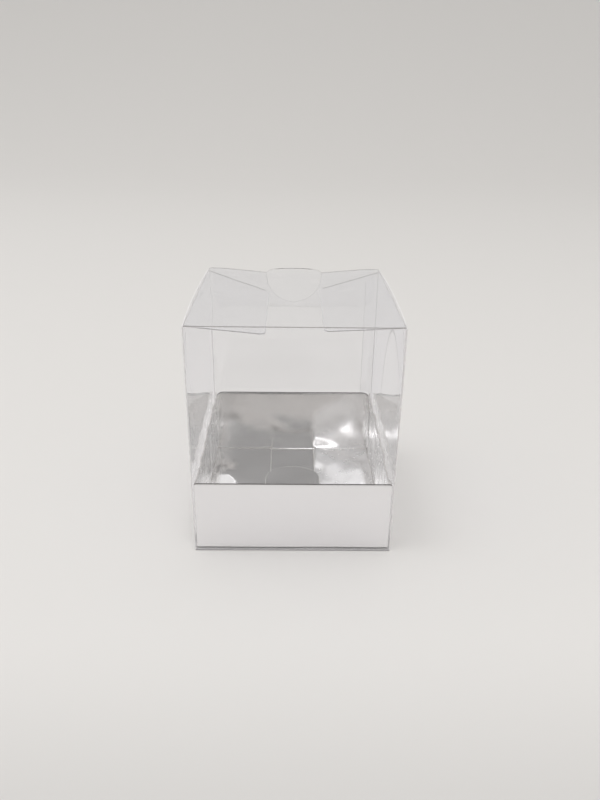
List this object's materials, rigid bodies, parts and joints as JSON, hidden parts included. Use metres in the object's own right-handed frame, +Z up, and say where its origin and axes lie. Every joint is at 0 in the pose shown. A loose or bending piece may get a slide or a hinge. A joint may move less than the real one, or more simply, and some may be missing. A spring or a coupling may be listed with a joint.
{
  "type": "favor box",
  "caption": "Clear folded plastic gift box with a tuck lid, a half-moon pull tab and dust flaps, holding an open mirror-silver card tray that lifts.",
  "frame": {"origin": "middle of the rectangle that the box's walls stand on, on the floor", "axes": "+Z up, +X to the viewer's right, front of the box with the lid's crease towards -Y"},
  "size_m": [0.0636, 0.0791, 0.076],
  "materials": {
    "clear_sheet": "clear glossy sheet, 0.3 mm",
    "silver_card": "mirror-silver film on 0.5 mm card"
  },
  "bodies": {
    "box": {"front_wall": "clear_sheet", "back_wall": "clear_sheet", "left_wall": "clear_sheet", "right_wall": "clear_sheet", "glue_seam": "clear_sheet", "bottom_left_dust_flap": "clear_sheet", "bottom_right_dust_flap": "clear_sheet"},
    "lid": {"top_lid": "clear_sheet"},
    "tuck": {"top_tuck_flap": "clear_sheet"},
    "left_flap": {"top_left_dust_flap": "clear_sheet"},
    "right_flap": {"top_right_dust_flap": "clear_sheet"},
    "base_lid": {"bottom_lid": "clear_sheet"},
    "base_tuck": {"bottom_tuck_flap": "clear_sheet"},
    "tray": {"tray_front_wall": "silver_card", "tray_back_wall": "silver_card", "tray_left_wall": "silver_card", "tray_right_wall": "silver_card", "tray_glue_tab": "silver_card", "tray_floor": "silver_card", "tray_left_floor_flap": "silver_card", "tray_right_floor_flap": "silver_card", "tray_floor_tongue": "silver_card"}
  },
  "joints": [
    {"name": "top_lid_hinge", "type": "hinge", "parent": "box", "child": "lid", "pos_m": [0, -0.035, 0.0757], "axis": [1, 0, 0], "range_deg": [0, 160]},
    {"name": "top_tuck_crease", "type": "hinge", "parent": "lid", "child": "tuck", "pos_m": [0, 0.03415, 0.0757], "axis": [1, 0, 0], "range_deg": [0, 50]},
    {"name": "top_left_flap_crease", "type": "hinge", "parent": "box", "child": "left_flap", "pos_m": [-0.03135, 0, 0.0753], "axis": [0, 1, 0], "range_deg": [0, 60]},
    {"name": "top_right_flap_crease", "type": "hinge", "parent": "box", "child": "right_flap", "pos_m": [0.03135, 0, 0.0753], "axis": [0, -1, 0], "range_deg": [0, 60]},
    {"name": "bottom_lid_hinge", "type": "hinge", "parent": "box", "child": "base_lid", "pos_m": [0, -0.0346, 0], "axis": [-1, 0, 0], "range_deg": [0, 120]},
    {"name": "bottom_tuck_crease", "type": "hinge", "parent": "base_lid", "child": "base_tuck", "pos_m": [0, 0.03415, 0.0003], "axis": [-1, 0, 0], "range_deg": [0, 13]},
    {"name": "tray_lift", "type": "slide", "parent": "box", "child": "tray", "axis": [0, 0, 1], "range_m": [0, 0.025]}
  ],
  "couplings": [
    {"joint": "top_tuck_crease", "follows": "top_lid_hinge", "ratio": 0.3},
    {"joint": "bottom_tuck_crease", "follows": "bottom_lid_hinge", "ratio": 0.1}
  ]
}
